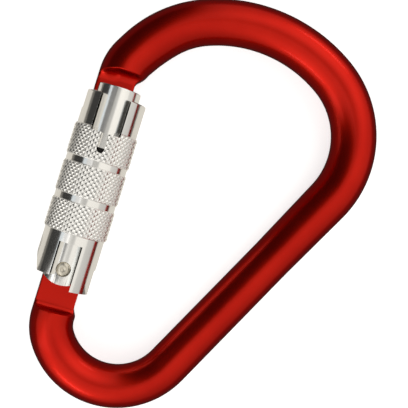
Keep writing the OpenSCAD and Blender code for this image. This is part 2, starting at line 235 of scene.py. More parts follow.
def spread(start, *stretches):
    """Heights from just after start, evenly spaced over each (end, count) in turn."""
    heights = []
    for end, count in stretches:
        heights += [start + (end - start) * (i + 1) / count for i in range(count)]
        start = end
    return heights


# %% [markdown]
# The rod starts at the rounded top of the hinge tang and ends at the foot of the nose blade.
# Its first and last stretches stand upright in the gate's line, so their rings are level.
# They crowd where a cove or a flush stretch starts or ends, and stand in pairs at the sharp
# edges of the notch for the gate's tooth.

# %% Bend the rod
ring_sides = 240
cam_reach, cam_turn = 2.2, radians(14)
cam_height = -cam_reach * sin(cam_turn)
corner_radius = 3.4
tang_top = cam_height + corner_radius
tang_flush, tang_cove_start, tang_cove_end = -5.2, -9.2, -11.7
nose_cove_foot, nose_proud_above, nose_flush_below = 50.6, 47.9, 47.1
hook_low, hook_high = nose_bottom + 1.8, nose_bottom + 3.9
hair = 0.03

rod = bmesh.new()
ops.create_circle(rod, segments=ring_sides, radius=bar_radius)
ops.scale(
    rod, verts=rod.verts, vec=(inner_flattening, 1, 1),
    space=Matrix.Translation((bar_radius, 0, 0)),
)
rotate(rod, radians(90), "X")
move(rod, (heel_x, tang_top, 0))
ring = list(rod.edges)
ring = levels(
    rod, ring,
    [cam_height + corner_radius * cos(radians(a)) for a in range(10, 91, 10)]
    + spread(
        cam_height, (tang_flush, 4), (tang_flush - 0.3, 3), (tang_cove_start, 5),
        (tang_cove_end, 24), (heel_y, 6),
    ),
)
tang_verts = set(rod.verts)
ring = run_round(rod, ring, heel_centre, heel_turn, 12)
ring = run_round(rod, ring, narrow_centre, 180 - heel_turn - spine_lean, 44)
ring = run_straight(rod, ring, (spine_length - taper_length) * spine_way, 12)
ring = run_straight(rod, ring, taper_length * spine_way, 10, wide_bar_radius - bar_radius)
ring = run_round(rod, ring, basket_centre, crown_start + spine_lean, 36)
ring = run_round(rod, ring, crown_centre, crown_end - crown_start, 26)
ring = run_round(rod, ring, shoulder_centre, shoulder_end - crown_end, 20)
ring = run_straight(rod, ring, nose_bend_tip - shoulder_tip, 4)
before_nose = set(rod.verts)
ring = run_round(rod, ring, nose_bend_centre, 180 - shoulder_end, 44)
bend_verts = set(rod.verts) - before_nose
ring = levels(
    rod, ring,
    spread(
        nose_bend_y, (nose_cove_foot, 18), (nose_proud_above, 6), (nose_flush_below, 10),
        (hook_high + hair, 1), (hook_high - hair, 1), (hook_low + hair, 4),
        (hook_low - hair, 1), (nose_bottom + 0.2, 4), (nose_bottom + 0.1, 1),
        (nose_bottom, 1),
    ),
)
nose_verts = set(rod.verts) - before_nose
print("rod:", len(rod.verts) // ring_sides, "rings of", ring_sides, "vertices")

# %% [markdown]
# ## Milling the two ends
#
# At the nose the rod is milled to a 4 mm blade that drops into the gate's slot, and at the
# hinge to a tang that the gate straddles. Each flat runs out into the full rod through a
# cove, the rounded wall that a ball-nosed cutter leaves. A boolean cut leaves ragged slivers
# where the cove crosses the round bar, so every vertex near the ends is pulled in along its
# own ray until it lies inside each milled face, and the grid survives.
#
# The rings of the last bend fan out like a hand of cards. They are first slid round the bend
# until they lie level, so that the cove's edge can run along a ring instead of across it.


# %% Level the rings above the nose
def ease(x, low, high):
    """Rises smoothly from 0 at low to 1 at high."""
    t = min(max((x - low) / (high - low), 0.0), 1.0)
    return t * t * (3 - 2 * t)


level_below, fanned_above = 2.0, 4.2
steepest_sine = 0.97
for vert in bend_verts:
    arm = vert.co - nose_bend_centre
    reach = hypot(arm.x, arm.y)
    turn = atan2(arm.y, -arm.x)
    ring_height = nose_bend_radius * sin(turn)
    level_turn = asin(min(ring_height / reach, steepest_sine))
    turn += (level_turn - turn) * (1 - ease(ring_height, level_below, fanned_above))
    vert.co.x = nose_bend_x - reach * cos(turn)
    vert.co.y = nose_bend_y + reach * sin(turn)
print("levelled", len(bend_verts) // ring_sides, "rings")

# %% [markdown]
# Forging leaves the shoulder a little fuller on its inner side, where it runs to the nose.

# %% Fill out the shoulder
full_spot, full_way = Vector((10.4, 60.0, 0)), Vector((0.25, -0.37, 0))
full_width = 5.5
for vert in rod.verts:
    away = hypot(vert.co.x - full_spot.x, vert.co.y - full_spot.y)
    vert.co += full_way * exp(-((away / full_width) ** 2))
print("shoulder filled by", round(full_way.length, 2), "mm")


# %% [markdown]
# A ray from the blade's middle meets flat faces and round ones. The nearest of them is where
# the metal ends. Taking a soft minimum instead of a hard one rounds the edges between faces
# by a few tenths of a millimetre, as tumbling does to the real part.


# %% Milled faces, as distances along a ray
blade_half = 2.0
blade_radius = 5.85
cove_reach, wall_slope = 4.5, 37.5
never = 1e4


def soft_min(a, b, blend):
    """The lesser of two numbers, with the corner between them rounded."""
    overlap = max(blend - abs(a - b), 0.0) / blend
    return min(a, b) - overlap * overlap * blend / 4


def to_flat(way, gap):
    """Distance to a flat face that lies gap away along one axis of the ray, or never."""
    return gap / way if way > 1 / never else never


def to_round(start_x, way_x, radius):
    """Distance from (start_x, 0) to a circle about the gate's axis."""
    b = start_x * way_x
    return -b + sqrt(b * b + radius * radius - start_x * start_x)


def cove(distance, flat, radius):
    """Half the blade's thickness at a distance beyond the end of its flat face."""
    if distance <= 0:
        return flat
    if distance < radius:
        return flat + radius - sqrt(radius * radius - distance * distance)
    return flat + radius + (distance - radius) * wall_slope


def mill(vert, start_x, limits):
    """Pulls a vertex in along its ray from (start_x, y, 0) to the nearest limit."""
    ray = Vector((vert.co.x - start_x, 0, vert.co.z))
    length = ray.length
    way_x, way_z = ray.x / length, ray.z / length
    reach = length
    for kind, value, blend in limits:
        if kind == "face":
            far_off = to_flat(abs(way_z), value)
        elif kind == "right":
            far_off = to_flat(way_x, value - start_x)
        elif kind == "left":
            far_off = to_flat(-way_x, start_x - value)
        else:
            far_off = to_round(start_x, way_x, value)
        reach = soft_min(reach, far_off, blend)
    vert.co.x = start_x + way_x * reach
    vert.co.z = way_z * reach


print("blades are", 2 * blade_half, "mm thick")

# %% [markdown]
# The nose blade is flat up to just above the gate, then coves out to the bar. Its inner edge
# is straight up to the gate's top and slants out at 43 degrees to the full bar. Below the
# sleeve's rim it keeps within the gate's own radius, and a notch in it takes the gate's tooth.

# %% Mill the nose
nose_right, hook_right = 3.6, 1.4
nose_flat_top = gate_top + 1.5
nose_cove, cove_dip = 2.8, 0.7
nose_flush, flush_blend = 47.3, 0.3
slant_start = gate_top + 2.4
slant, fillet = 1 / tan(radians(43)), 0.7
end_relief = 0.15
for vert in nose_verts:
    height = vert.co.y
    drop = height - nose_bend_y
    middle_x = nose_x
    if drop > 0:
        middle_x = nose_bend_x - sqrt(max(nose_bend_radius**2 - drop**2, 1.0))
    past = height - slant_start
    if past < -fillet:
        right = nose_right
    elif past < fillet:
        right = nose_right + slant * (past + fillet) ** 2 / (4 * fillet)
    else:
        right = nose_right + slant * past
    limits = [("right", right, 0.6)]
    into_cove = height - nose_flat_top + cove_dip * ease(-vert.co.x, 1.0, 5.5)
    if into_cove < cove_reach:
        lip_round = 0.5 + 1.1 * ease(into_cove, 0.5, 2.0)
        limits.append(("face", cove(into_cove, blade_half, nose_cove), lip_round))
    if height < nose_flush + flush_blend:
        let_out = ease(height, nose_flush - flush_blend, nose_flush + flush_blend)
        flush = blade_radius + 2 * let_out
        limits.append(("round", flush, 0.3))
    if hook_low < height < hook_high:
        limits[0] = ("right", hook_right, 0.3)
    if height < nose_bottom + 0.05:
        limits = [(kind, value - end_relief, blend) for kind, value, blend in limits]
    mill(vert, middle_x, limits)
print("nose milled over", len(nose_verts), "vertices")

# %% [markdown]
# The hinge tang has the same flat faces with a tighter cove. Its inner edge has a cove of its
# own, and its top is rounded at both corners: the inner corner is the cam on which the
# gate's plunger rides when the gate swings open.

# %% Mill the tang
tang_right, tang_low = 5.6, -9.4
tang_flat_low = -9.8
side_cove, face_cove = 3.0, 1.5
tang_middle, tang_proud = 0.6, -5.6
left_corner_x = heel_x - bar_radius + corner_radius
cam_x = cam_reach * cos(cam_turn)
for vert in tang_verts:
    height = vert.co.y
    below = tang_low - height
    right = tang_right
    if below > 0:
        right += side_cove - sqrt(max(side_cove**2 - below**2, 0.0))
    limits = [("face", cove(tang_flat_low - height, blade_half, face_cove), 0.4)]
    if below < side_cove - 0.1:
        limits.append(("right", right, 0.4))
    if height > cam_height:
        bulge = sqrt(max(corner_radius**2 - (height - cam_height) ** 2, 0.0))
        limits.append(("right", cam_x + bulge, 0.2))
        limits.append(("left", left_corner_x - bulge, 0.2))
    if height > tang_proud:
        flush = blade_radius + 0.6 * (1 - ease(height, tang_proud, tang_flush))
        limits.append(("round", flush, 0.3))
    mill(vert, tang_middle, limits)
print("tang milled over", len(tang_verts), "vertices")

# %% [markdown]
# A few passes of smoothing take the last hardness off the rims of the coves, and the two open
# ends are filled. Milling bunches up vertices in some corners, so doubles are merged before
# the normals are made to point outwards.

# %% Finish the bar
nose_rim = [v for v in nose_verts if nose_flat_top + 2.0 < v.co.y < nose_flat_top + 3.6]
tang_rim = [v for v in tang_verts if tang_flat_low - 2.1 < v.co.y < tang_flat_low - 1.1]
smoothing_passes = 5
for rim in (nose_rim, tang_rim):
    for _ in range(smoothing_passes):
        ops.smooth_vert(
            rod, verts=rim, factor=0.5, use_axis_x=True, use_axis_y=True, use_axis_z=True
        )
ops.holes_fill(rod, edges=[e for e in rod.edges if e.is_boundary], sides=0)
ops.remove_doubles(rod, verts=rod.verts, dist=0.004)
ops.recalc_face_normals(rod, faces=rod.faces)
bar = make_piece(rod, "carabiner_bar", "body", "body")

# %% [markdown]
# ## Cutting with booleans
#
# The gate and the sleeve are turned parts with slots sawn through them. A profile spun round
# the axis gives the turned shape. The slots are plain prisms and drills, so booleans suit
# them: the manifold solver leaves clean walls where a prism passes through a tube. `carve`
# applies one on bare objects that are thrown away again. A cut that passes right through
# runs `out` sideways or `far` lengthwise, well beyond every piece.


# %% Saw and drill a bmesh
out, far = 20, 80


def bare_object(bm, name):
    """An object whose faces all point outwards, as the solver needs them."""
    ops.recalc_face_normals(bm, faces=bm.faces)
    return put_mesh(bm, name)


def carve(bm, cutter, operation="DIFFERENCE"):
    """Cuts one bmesh by another, joins them or keeps what they share, as a new bmesh."""
    blank, tool = bare_object(bm, "blank"), bare_object(cutter, "cutter")
    step = blank.modifiers.new("cut", "BOOLEAN")
    step.operation = operation
    step.solver = "MANIFOLD"
    step.object = tool
    graph = bpy.context.evaluated_depsgraph_get()
    cut_mesh = bpy.data.meshes.new_from_object(blank.evaluated_get(graph))
    result = bmesh.new()
    result.from_mesh(cut_mesh)
    for item in (blank, tool):
        bpy.data.objects.remove(item)
    return result


def carve_all(bm, cutters):
    """Makes one cut after another."""
    for cutter in cutters:
        bm = carve(bm, cutter)
    return bm


def prism(low, high):
    """A cutter: the box between two corners."""
    bm = bmesh.new()
    ops.create_cube(bm, size=1)
    ops.scale(bm, vec=[b - a for a, b in zip(low, high)], verts=bm.verts)
    move(bm, [(a + b) / 2 for a, b in zip(low, high)])
    return bm


def drill(centre, way, radius, length, sides=48):
    """A cutter: a cylinder that starts at centre and runs length along way."""
    bm = bmesh.new()
    ops.create_cone(
        bm, cap_ends=True, segments=sides, radius1=radius, radius2=radius, depth=length
    )
    move(bm, (0, 0, length / 2))
    turn = Vector((0, 0, 1)).rotation_difference(Vector(way)).to_matrix()
    ops.rotate(bm, matrix=turn, verts=bm.verts)
    move(bm, centre)
    return bm


def turned(profile, steps):
    """Spins a closed profile of (radius, height) points once round the Y axis."""
    bm = bmesh.new()
    verts = [bm.verts.new((radius, height, 0)) for radius, height in profile]
    edges = [bm.edges.new(pair) for pair in zip(verts, verts[1:] + verts[:1])]
    ops.spin(
        bm, geom=verts + edges, cent=(0, 0, 0), axis=(0, 1, 0), angle=2 * pi, steps=steps,
        use_merge=True, use_normal_flip=False, use_duplicate=False,
    )
    ops.remove_doubles(bm, verts=bm.verts, dist=0.001)
    loose = [e for e in bm.edges if not e.link_faces]
    ops.delete(bm, geom=loose, context="EDGES")
    ops.recalc_face_normals(bm, faces=bm.faces)
    return bm


# %% [markdown]
# Sawn edges on the real parts are broken: a light deburring leaves a tiny bevel that catches
# the light. The helper bevels only the edges that a test picks and that turn sharply, so the
# knurl and the turned roundings are left alone.


# %% Break sharp edges
def break_edges(bm, size, wanted):
    """Bevels the sharp edges for which wanted(middle of the edge) holds."""
    sharp = radians(40)
    ops.remove_doubles(bm, verts=bm.verts, dist=0.01)
    edges = [
        e for e in bm.edges
        if len(e.link_faces) == 2
        and e.calc_face_angle(0) > sharp
        and wanted((e.verts[0].co + e.verts[1].co) / 2)
    ]
    ops.bevel(
        bm, geom=edges, offset=size, offset_type="OFFSET", segments=2, profile=0.5,
        affect="EDGES", clamp_overlap=True, material=-1,
    )
    return len(edges)


# %% [markdown]
# ## The gate
#
# The gate is a round aluminium bar, faced square at the top and rounded at the hinge end.
# A long slot in its top swallows the nose blade, and a fork at its foot straddles the tang.
# A waist in the middle, out of sight, makes the chamber for the sleeve's spring.

# %% Turn and saw the gate
gate_radius = 5.9
gate_bottom, gate_end_radius = -4.2, 8.4
chamber_low, chamber_high, chamber_core = 14.9, 33.0, 4.7
gate_rim = 0.25
gate_steps = 120
gate = turned(
    [
        (0, gate_bottom), (gate_radius, gate_bottom), (gate_radius, chamber_low),
        (chamber_core, chamber_low), (chamber_core, chamber_high),
        (gate_radius, chamber_high), (gate_radius, gate_top - gate_rim),
        (gate_radius - 0.3 * gate_rim, gate_top - 0.3 * gate_rim),
        (gate_radius - gate_rim, gate_top), (0, gate_top),
    ],
    gate_steps,
)
round_end = bmesh.new()
ops.create_circle(round_end, cap_ends=True, segments=160, radius=gate_end_radius)
move(round_end, (0, gate_bottom + gate_end_radius, -out))
for vert in round_end.verts:
    if vert.co.y > gate_bottom + gate_end_radius + 0.01:
        vert.co.y += far
end_block = ops.extrude_face_region(round_end, geom=list(round_end.faces))["geom"]
ops.translate(round_end, vec=(0, 0, 2 * out), verts=pick(BMVert, end_block))
gate = carve(gate, round_end, "INTERSECT")
slot_half, slot_play = 2.15, 0.4
nose_slot_low, nose_slot_wall = nose_bottom - 0.9, 4.2
hinge_slot_top = corner_radius - cam_height + slot_play
tooth_x, tooth_low, tooth_high = 1.7, hook_low + 0.3, hook_high - 0.3
nose_slot = carve(
    prism((-out, nose_slot_low, -slot_half), (nose_slot_wall, far, slot_half)),
    prism((tooth_x, tooth_low, -out), (out, tooth_high, out)),
)
rivet_hole, rivet_seat, seat_depth = 1.4, 1.98, 0.75
plunger_x, plunger_bore, spring_bore_top = 1.6, 1.65, 17.3
gate = carve_all(gate, [
    nose_slot,
    prism((-out, -far, -slot_half), (out, hinge_slot_top, slot_half)),
    drill((0, 0, -out), (0, 0, 1), rivet_hole, 2 * out),
    drill((0, 0, gate_radius - seat_depth), (0, 0, 1), rivet_seat, out),
    drill((0, 0, seat_depth - gate_radius), (0, 0, -1), rivet_seat, out),
    drill((plunger_x, 0, 0), (0, 1, 0), plunger_bore, spring_bore_top),
])
broken = break_edges(gate, 0.12, lambda p: not chamber_low - 1 < p.y < chamber_high + 1)
print("gate: broke", broken, "edges")
gate_bar = make_piece(gate, "gate_bar", "gate", "gate")

# %% [markdown]
# ## The hinge rivet
#
# The rivet is a steel pin, peened over at both faces of the gate. Peening spreads the end
# into a low dome with a small crater where the punch stood. A spun profile gives the dome,
# and a little noise makes it look struck. Both heads follow the gate's round surface, and
# the second one is the first one's mirror image.

# %% Peen the rivet
head = [
    (0, 5.62), (0.35, 5.66), (0.62, 5.80), (0.95, 5.83), (1.35, 5.77), (1.72, 5.60),
    (1.90, 5.38), (1.93, 5.15), (1.38, 5.15),
]
head_low, dent_depth = 5.3, 0.05
rivet = turned([(radius, -height) for radius, height in head] + head[::-1], 48)
rotate(rivet, radians(90), "X")
for vert in rivet.verts:
    if abs(vert.co.z) > head_low:
        away = hypot(vert.co.x, vert.co.y)
        follow = gate_radius - sqrt(gate_radius**2 - vert.co.x**2)
        dent = dent_depth * noise.noise(Vector((vert.co.x, vert.co.y, 3)) * 1.6)
        vert.co.z -= copysign(follow + abs(dent) * min(away, 1), vert.co.z)
rivet_pin = make_piece(rivet, "peened_rivet", "gate", "hinge_rivet")

# %% [markdown]
# ## The locking sleeve
#
# The sleeve is turned from one tube: a smooth nose end, three knurled bands parted by two
# grooves, and a smooth hinge end. The tube is spun finely, so that its smooth ends and
# grooves mirror cleanly. The knurl needs a coarse grid, one square for each tooth of the
# wheel, so each band is a ring of its own that is joined to the tube afterwards.

# %% Turn the sleeve's tube
sleeve_radius, knurl_radius, groove_radius = 8.1, 8.6, 8.25
bore_radius, wide_bore_radius = gate_radius + 0.05, gate_radius + 0.35
sleeve_top, right_tongue_low = 46.95, -5.0
bore_low, bore_high, bore_flare = 8.6, 35.1, 0.3
pocket_radius, pocket_high = 6.9, chamber_high - 0.2
bands = [(9.4, 17.7), (19.25, 27.8), (29.3, 37.95)]
rounding = 0.4
tube = [(wide_bore_radius, right_tongue_low), (sleeve_radius, right_tongue_low)]
tube += [(sleeve_radius, bands[0][0] + 0.5), (groove_radius, bands[0][0] + 0.5)]
tube += [(groove_radius, bands[2][1] - 0.5), (sleeve_radius, bands[2][1] - 0.5)]
tube += [
    (
        sleeve_radius - rounding + rounding * sin(radians(a)),
        sleeve_top - rounding + rounding * cos(radians(a)),
    )
    for a in range(90, -1, -15)
]
tube += [
    (wide_bore_radius, sleeve_top), (wide_bore_radius, bore_high + bore_flare),
    (bore_radius, bore_high), (bore_radius, pocket_high),
    (pocket_radius, pocket_high), (pocket_radius, chamber_low),
    (bore_radius, chamber_low), (bore_radius, bore_low),
    (wide_bore_radius, bore_low - bore_flare),
]
sleeve = turned(tube, 152)
print("sleeve: tube of", len(sleeve.faces), "faces")

# %% [markdown]
# A knurling wheel presses two crossing families of grooves and leaves a field of diamonds.
# Poking a square of the grid gives four triangles, and dissolving the old square edges joins
# them in pairs to a grid of diamonds. Each diamond is inset and lifted to a small blunt
# pyramid of five faces. The half diamonds along a band's edges are lifted less, because the
# wheel runs out there.

# %% Press the knurl
knurl_turns = 38
valley_radius = 8.37
wall_width, wall_height = 0.42, knurl_radius - valley_radius
lead_in = 0.14
ring_bore = 7.4


def knurled_ring(low, high):
    """One knurled band, as a closed ring that overlaps the tube."""
    width = high - low - 2 * lead_in
    rows = round(width / (2 * pi * valley_radius / knurl_turns))
    outer = [(valley_radius, low + lead_in + width * row / rows) for row in range(rows + 1)]
    foot = valley_radius - lead_in
    bm = turned(
        [(ring_bore, low), (foot, low), *outer, (foot, high), (ring_bore, high)], knurl_turns
    )
    skin = [
        face for face in bm.faces
        if all(abs(hypot(v.co.x, v.co.z) - valley_radius) < 0.02 for v in face.verts)
    ]
    inner = [e for e in bm.edges if all(face in skin for face in e.link_faces)]
    ops.poke(bm, faces=skin, offset=0.0, center_mode="MEAN_WEIGHTED")
    ops.dissolve_edges(
        bm, edges=[e for e in inner if e.is_valid], use_verts=False, use_face_split=False
    )
    raised = [
        f for f in bm.faces
        if hypot(*f.calc_center_median().xz) > valley_radius - 0.06
    ]
    whole = [f for f in raised if len(f.verts) == 4]
    half = [f for f in raised if len(f.verts) == 3]
    for faces, share in ((whole, 1.0), (half, 0.5)):
        ops.inset_individual(
            bm, faces=faces, thickness=wall_width * share, depth=wall_height * share,
            use_even_offset=True, use_interpolate=True, use_relative_offset=False,
        )
    print(f"knurl: {rows} rows, {len(whole)} whole and {len(half)} half diamonds")
    return bm


for low, high in bands:
    sleeve = carve(sleeve, knurled_ring(low, high), "UNION")

# %% [markdown]
# Now the sleeve is sawn: a wide notch at the front and back of the nose end, narrower
# notches at the hinge end, a round-ended key slot below the front notch, and the slots that
# let the nose blade and the tang pass. The tongue on the outer side is shorter, with a slant.

# %% Saw the sleeve
nose_notch_half, nose_notch_low = 4.0, 36.9
hinge_notch_half, hinge_notch_top = 3.1, 7.0
key_half, key_low, key_floor = 1.0, 31.6, 3
key_round = key_low + key_half
sleeve_slot_half, nose_slot_foot, tang_slot_top = 2.2, gate_top - 7.6, 1.5
left_tongue_low, slant_top, slant_radius = -2.1, 2.6, 6.55
slant_angle = atan((sleeve_radius - slant_radius) / (slant_top - left_tongue_low))
slant_cut = prism((-out, -out, -out), (0, 0, out))
rotate(slant_cut, slant_angle, "Z")
move(slant_cut, (-sleeve_radius, slant_top, 0))
sleeve = carve_all(sleeve, [
    prism((-nose_notch_half, nose_notch_low, -out), (nose_notch_half, far, out)),
    prism((-hinge_notch_half, -far, -out), (hinge_notch_half, hinge_notch_top, out)),
    prism((-key_half, key_round, key_floor), (key_half, far, out)),
    drill((0, key_round, key_floor), (0, 0, 1), key_half, out - key_floor, 40),
    prism((-out, nose_slot_foot, -sleeve_slot_half), (0, far, sleeve_slot_half)),
    prism((0, -far, -sleeve_slot_half), (out, tang_slot_top, sleeve_slot_half)),
    prism((-out, -far, -out), (0, left_tongue_low, out)),
    slant_cut,
])


def on_smooth_end(point):
    """Whether a point is on one of the sleeve's smooth ends."""
    past_bands = point.y > bands[2][1] or point.y < bands[0][0] - 0.1
    return past_bands and hypot(point.x, point.z) < sleeve_radius + 0.1


broken = break_edges(sleeve, 0.16, on_smooth_end)
print("sleeve: broke", broken, "edges")
twist_sleeve = make_piece(
    sleeve, "knurled_sleeve", "sleeve", "locking_sleeve", crisp=28
)

# %% [markdown]
# ## Writing shader maths as Python
#
# A finish is a graph of nodes, and long sums are hard to read as a graph. The small class
# below wraps a socket, so that an expression such as `1 - mask * 0.4` adds its own Math
# nodes. Those turn a colour grey, so colours and vectors use Mix and Vector Math, through the
# general method of the class after it.


# %% A socket that takes part in sums
class Wire:
    """One value in a finish's graph. Sums on it add Math nodes."""

    def __init__(self, socket):
        self.socket = socket

    def maths(self, operation, *values):
        node = self.socket.id_data.nodes.new("ShaderNodeMath")
        node.operation = operation
        for entry, value in zip(node.inputs, values):
            join(entry, value)
        return Wire(node.outputs[0])

    def __add__(self, other):
        return self.maths("ADD", self, other)

    __radd__ = __add__

    def __mul__(self, other):
        return self.maths("MULTIPLY", self, other)

    __rmul__ = __mul__

    def __sub__(self, other):
        return self.maths("SUBTRACT", self, other)

    def __rsub__(self, other):
        return self.maths("SUBTRACT", other, self)

    def __truediv__(self, other):
        return self.maths("DIVIDE", self, other)

    def __pow__(self, other):
        return self.maths("POWER", self, other)

    def outputs(self, *names):
        """Wires from the named outputs of this one's node."""
        return [Wire(self.socket.node.outputs[name]) for name in names]

    def at_least(self, floor):
        return self.maths("MAXIMUM", self, floor)

    def clamped(self, low, high):
        """0 at low and 1 at high, whichever is greater, and level beyond them."""
        share = (self - low) / (high - low)
        share.socket.node.use_clamp = True
        return share


def join(entry, value):
    """Links a Wire to a node's input, or writes a number or colour there."""
    if isinstance(value, Wire):
        entry.id_data.links.new(value.socket, entry)
    else:
        entry.default_value = value


# %% [markdown]
# A graph belongs to a material or to the world. Its `add` method makes any node: first the
# settings, such as a Mix node's data type, and then the sockets. A finish is the graph of one
# material, with short names for the patterns that the finishes share.


# %% Graphs and finishes
class Graph:
    """The node graph of a material or of the world."""

    def __init__(self, owner):
        owner.use_nodes = True
        self.tree = owner.node_tree
        self.tree.nodes.clear()

    def add(self, kind, settings=None, output=0, **sockets):
        """Adds a node. A socket's name is written with _ for a space."""
        node = self.tree.nodes.new(kind)
        for name, value in (settings or {}).items():
            setattr(node, name, value)
        entries = {}
        for entry in node.inputs:
            if entry.enabled:
                entries.setdefault(entry.name.replace(" ", "_"), entry)
                entries.setdefault(entry.identifier, entry)
        for name, value in sockets.items():
            join(entries[name], value)
        return Wire(node.outputs[output]) if node.outputs else None

    def camera_sees(self):
        """1 on a ray straight from the camera, and 0 in mirrors and shadows."""
        return self.add("ShaderNodeLightPath").outputs("Is Camera Ray")[0]


class Finish(Graph):
    """A material built from expressions."""

    def __init__(self, name):
        self.material = bpy.data.materials.new(name)
        super().__init__(self.material)

    def place(self):
        """The point of the surface in the shared frame, in metres."""
        return self.add("ShaderNodeTexCoord", output=3)

    def noise(self, scale, detail=2.0, roughness=0.5, vector=None):
        """Even noise about 0.5, with scale in patches a metre."""
        return self.add(
            "ShaderNodeTexNoise", Scale=scale, Detail=detail, Roughness=roughness,
            Vector=vector or self.place(),
        )

    def blend(self, share, first, second):
        """One colour faded into another by a value from 0 to 1."""
        return self.add(
            "ShaderNodeMix", {"data_type": "RGBA"}, output=2, Factor_Float=share,
            A_Color=first, B_Color=second,
        )

    def bump(self, height, depth):
        """Turns a height from 0 to 1 into a tilt of the normal, with depth in metres."""
        return self.add("ShaderNodeBump", Strength=1.0, Distance=depth, Height=height)

    def surface(self, **sockets):
        """Closes the graph with one shader."""
        shader = self.add("ShaderNodeBsdfPrincipled", **sockets)
        self.add("ShaderNodeOutputMaterial", Surface=shader)
        return self.material


def dress(piece, material):
    """Gives a new piece, or a CAD node that stays, its one finish."""
    slots = piece.data.materials
    if slots:
        slots[0] = material
    else:
        slots.append(material)


print("finishes can be written as expressions")

# %% [markdown]
# ## Red anodised aluminium
#
# Anodising leaves a clear, dyed oxide on bare aluminium, so the bar shines like metal but in
# one deep red. Tumbling before the bath leaves it satin, with faint clouds in the gloss.
# Light that grazes the bar crosses more of the dye, so its edges darken: the metal shader's
# tint at grazing angles, a constant, gives that.

# %% Finish of the bar
red = Finish("red_anodised")
cloud = red.noise(90.0, detail=3.0)
grain = red.noise(2600.0, roughness=0.6)
dye = red.blend(cloud.clamped(0.35, 0.65), (0.60, 0.009, 0.002, 1), (0.66, 0.012, 0.003, 1))
satin = 0.27 + cloud * 0.06 + grain * 0.05
red_anodised = red.surface(
    Base_Color=dye, Metallic=1.0, Roughness=satin, Specular_Tint=(0.03, 0.0, 0.0, 1),
    Coat_Weight=0.2, Coat_Roughness=0.16, Normal=red.bump(grain, 0.0000012),
)
dress(bar, red_anodised)

# %% [markdown]
# ## Turned and polished aluminium
#
# The gate is turned, polished and left silver. Turning leaves rings round the axis, far too
# fine to model, so a noise that is stretched round the axis and squeezed along it stands in
# for them as a faint bump. A second, slower noise makes the polish a little uneven. The neck
# inside the spring's chamber is painted near-black, dull and less metallic. This is painted
# shade for that deep recess, which shows at the end of the key slot.

# %% Finish of the gate
silver = Finish("polished_silver")


def about_axis(finish):
    """The point of the surface measured from the gate's axis."""
    return finish.add(
        "ShaderNodeVectorMath", {"operation": "SUBTRACT"},
        Vector=finish.place(), Vector_001=hinge_place,
    )


def turning_lines(finish, rings_a_metre):
    """Noise that only changes along the gate, as the tool's fine rings do."""
    squeezed = finish.add(
        "ShaderNodeVectorMath", {"operation": "MULTIPLY"},
        Vector=about_axis(finish), Vector_001=(0.02, 1.0, 0.02),
    )
    return finish.noise(rings_a_metre, roughness=0.6, vector=squeezed)


def height_and_radius(finish):
    """Millimetres along the gate's axis from the hinge, and away from the axis."""
    split = finish.add("ShaderNodeSeparateXYZ", Vector=about_axis(finish))
    x, y, z = split.outputs("X", "Y", "Z")
    return y * 1000, (x * x + z * z) ** 0.5 * 1000


rings = turning_lines(silver, 9000.0)
patches = silver.noise(260.0)
up, away = height_and_radius(silver)
# Painted shade: the neck inside the spring's chamber is painted near-black, less metallic and
# rougher, standing in for the shade of the recess.
above_foot = up.clamped(chamber_low - 0.4, chamber_low)
below_head = up.clamped(chamber_high + 0.4, chamber_high)
chamber_painted_shade = above_foot * below_head * away.clamped(chamber_core + 0.7, chamber_core + 0.3)
bright = silver.blend(patches, (0.84, 0.825, 0.79, 1), (0.90, 0.885, 0.85, 1))
polished_silver = silver.surface(
    Base_Color=silver.blend(chamber_painted_shade, bright, (0.03, 0.027, 0.024, 1)),
    Metallic=1.0 - chamber_painted_shade * 0.7,
    Roughness=0.11 + patches * 0.05 + rings * 0.05 + chamber_painted_shade * 0.3,
    Normal=silver.bump(rings, 0.0000012),
)
dress(gate_bar, polished_silver)

# %% [markdown]
# ## Knurled aluminium
#
# The sleeve has the gate's silver finish, but nobody polishes a knurl. The wheel leaves the
# walls of its valleys bright and matt, so they scatter light where the smooth ends mirror it,
# and only the blunt tips shine. The distance from the axis tells a valley from a tip, so one
# expression makes the valleys paler and duller, with a fine speckle.

# %% Finish of the sleeve
knurled = Finish("knurled_silver")
height_mm, radius_mm = height_and_radius(knurled)
in_band = sum(
    height_mm.clamped(low, low + 0.05) * height_mm.clamped(high, high - 0.05)
    for low, high in bands
)
in_valley = radius_mm.clamped(knurl_radius - 0.06, valley_radius + 0.02) * in_band
speckle = knurled.noise(1500.0, detail=3.0)
smear = knurled.noise(180.0)
pressed = in_valley * (0.35 + speckle * 0.8)
clean = knurled.blend(smear, (0.83, 0.815, 0.78, 1), (0.90, 0.885, 0.85, 1))
knurled_silver = knurled.surface(
    Base_Color=knurled.blend(pressed.clamped(0.0, 1.0), clean, (0.96, 0.945, 0.91, 1)),
    Metallic=1.0, Roughness=0.11 + smear * 0.06 + in_valley * 0.32,
    Normal=knurled.bump(turning_lines(knurled, 7000.0), 0.0000008),
)
dress(twist_sleeve, knurled_silver)

# %% [markdown]
# ## Steel for the small parts
#
# The rivet, the springs, the plunger and the stop pin are stainless steel. They share one
# recipe with their own tint and gloss: the rivet is peened and slightly tanned by oil, and
# the springs are drawn wire, a little dull. All but the rivet keep their CAD meshes, because
# they lie inside the gate and only show through its slots.


# %% Finishes of the steel parts
def steel(name, colour, dull, roughness, grain_scale):
    """Stainless steel with a fine grain, and a duller tint in patches."""
    finish = Finish(name)
    patch = finish.noise(grain_scale / 8)
    grain = finish.noise(grain_scale, detail=3.0)
    return finish.surface(
        Base_Color=finish.blend(patch, (*colour, 1), (*dull, 1)), Metallic=1.0,
        Roughness=roughness + grain * 0.12, Normal=finish.bump(grain, 0.000002),
    )


